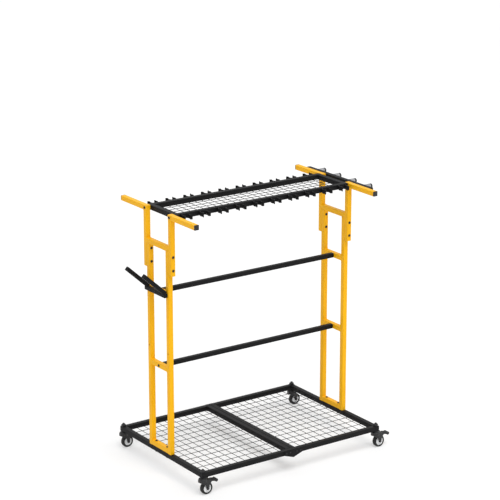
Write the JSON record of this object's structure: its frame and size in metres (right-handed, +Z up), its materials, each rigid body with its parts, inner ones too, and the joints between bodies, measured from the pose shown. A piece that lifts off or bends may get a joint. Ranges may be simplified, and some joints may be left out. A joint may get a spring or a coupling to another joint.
{
  "type": "freestanding garden tool rack",
  "caption": "Freestanding garden tool rack on swivel casters, with a wire deck, two side frames, a tray ringed by tool clips, a hose hook and side pegs.",
  "frame": {"origin": "on the floor, in the middle of the whole rack's outline", "axes": "+Z up, +X to the rack's right as seen from the front, -Y to the front"},
  "size_m": [1.02, 0.614, 1.068],
  "materials": {
    "yellow_paint": "satin powder coat",
    "black_paint": "satin powder coat",
    "black_fastener": "black zinc",
    "black_plastic": "moulded",
    "grey_plastic": "moulded",
    "bright_steel": "zinc plated",
    "tyre_rubber": "matt rubber"
  },
  "bodies": {
    "frame": {"base_left": "black_paint", "base_right": "black_paint", "deck_left": "black_paint", "deck_right": "black_paint", "splice_plates": "black_paint", "splice_screws": "black_fastener", "caster_stems": "black_fastener", "caster_nuts": "black_fastener", "lower_frame_left": "yellow_paint", "lower_frame_right": "yellow_paint", "upper_frame_left": "yellow_paint", "upper_frame_right": "yellow_paint", "overlap_bolts": "black_fastener", "base_bolts": "black_fastener", "hex_nuts": "black_fastener", "arm_caps": "black_plastic", "tie_bar_lower": "black_paint", "tie_bar_upper": "black_paint", "tie_bar_screws": "black_fastener", "tray_frame": "black_paint", "tray_floor": "black_paint", "tray_bolts": "black_fastener", "front_clip_1": "black_paint", "front_clip_2": "black_paint", "front_clip_3": "black_paint", "front_clip_4": "black_paint", "front_clip_5": "black_paint", "front_clip_6": "black_paint", "front_clip_7": "black_paint", "front_clip_8": "black_paint", "front_clip_9": "black_paint", "front_clip_10": "black_paint", "rear_clips_left": "black_paint", "rear_clips_right": "black_paint", "clip_rivets": "black_fastener", "hose_hook": "black_paint", "hook_screws": "black_fastener", "peg_rail": "black_paint", "pegs": "bright_steel", "peg_plugs": "black_plastic", "peg_screws": "bright_steel"},
    "swivel_front_left": {"fork_front_left": "black_plastic", "axle_front_left": "bright_steel"},
    "wheel_front_left": {"hub_front_left": "grey_plastic", "tyre_front_left": "tyre_rubber"},
    "brake_front_left": {"pedal_front_left": "black_plastic"},
    "swivel_front_right": {"fork_front_right": "black_plastic", "axle_front_right": "bright_steel"},
    "wheel_front_right": {"hub_front_right": "grey_plastic", "tyre_front_right": "tyre_rubber"},
    "brake_front_right": {"pedal_front_right": "black_plastic"},
    "swivel_rear_left": {"fork_rear_left": "black_plastic", "axle_rear_left": "bright_steel"},
    "wheel_rear_left": {"hub_rear_left": "grey_plastic", "tyre_rear_left": "tyre_rubber"},
    "swivel_rear_right": {"fork_rear_right": "black_plastic", "axle_rear_right": "bright_steel"},
    "wheel_rear_right": {"hub_rear_right": "grey_plastic", "tyre_rear_right": "tyre_rubber"}
  },
  "joints": [
    {"name": "swivel_front_left_turn", "type": "hinge", "parent": "frame", "child": "swivel_front_left", "pos_m": [-0.394, -0.29, 0.06], "axis": [0, 0, 1], "continuous": true},
    {"name": "wheel_front_left_roll", "type": "hinge", "parent": "swivel_front_left", "child": "wheel_front_left", "pos_m": [-0.379, -0.29, 0.025], "axis": [0, 1, 0], "continuous": true},
    {"name": "brake_front_left_press", "type": "hinge", "parent": "swivel_front_left", "child": "brake_front_left", "pos_m": [-0.369, -0.29, 0.057], "axis": [0, 1, 0], "range_deg": [0, 20]},
    {"name": "swivel_front_right_turn", "type": "hinge", "parent": "frame", "child": "swivel_front_right", "pos_m": [0.446, -0.29, 0.06], "axis": [0, 0, 1], "continuous": true},
    {"name": "wheel_front_right_roll", "type": "hinge", "parent": "swivel_front_right", "child": "wheel_front_right", "pos_m": [0.461, -0.29, 0.025], "axis": [0, 1, 0], "continuous": true},
    {"name": "brake_front_right_press", "type": "hinge", "parent": "swivel_front_right", "child": "brake_front_right", "pos_m": [0.471, -0.29, 0.057], "axis": [0, 1, 0], "range_deg": [0, 20]},
    {"name": "swivel_rear_left_turn", "type": "hinge", "parent": "frame", "child": "swivel_rear_left", "pos_m": [-0.394, 0.29, 0.06], "axis": [0, 0, 1], "continuous": true},
    {"name": "wheel_rear_left_roll", "type": "hinge", "parent": "swivel_rear_left", "child": "wheel_rear_left", "pos_m": [-0.379, 0.29, 0.025], "axis": [0, 1, 0], "continuous": true},
    {"name": "swivel_rear_right_turn", "type": "hinge", "parent": "frame", "child": "swivel_rear_right", "pos_m": [0.446, 0.29, 0.06], "axis": [0, 0, 1], "continuous": true},
    {"name": "wheel_rear_right_roll", "type": "hinge", "parent": "swivel_rear_right", "child": "wheel_rear_right", "pos_m": [0.461, 0.29, 0.025], "axis": [0, 1, 0], "continuous": true}
  ]
}
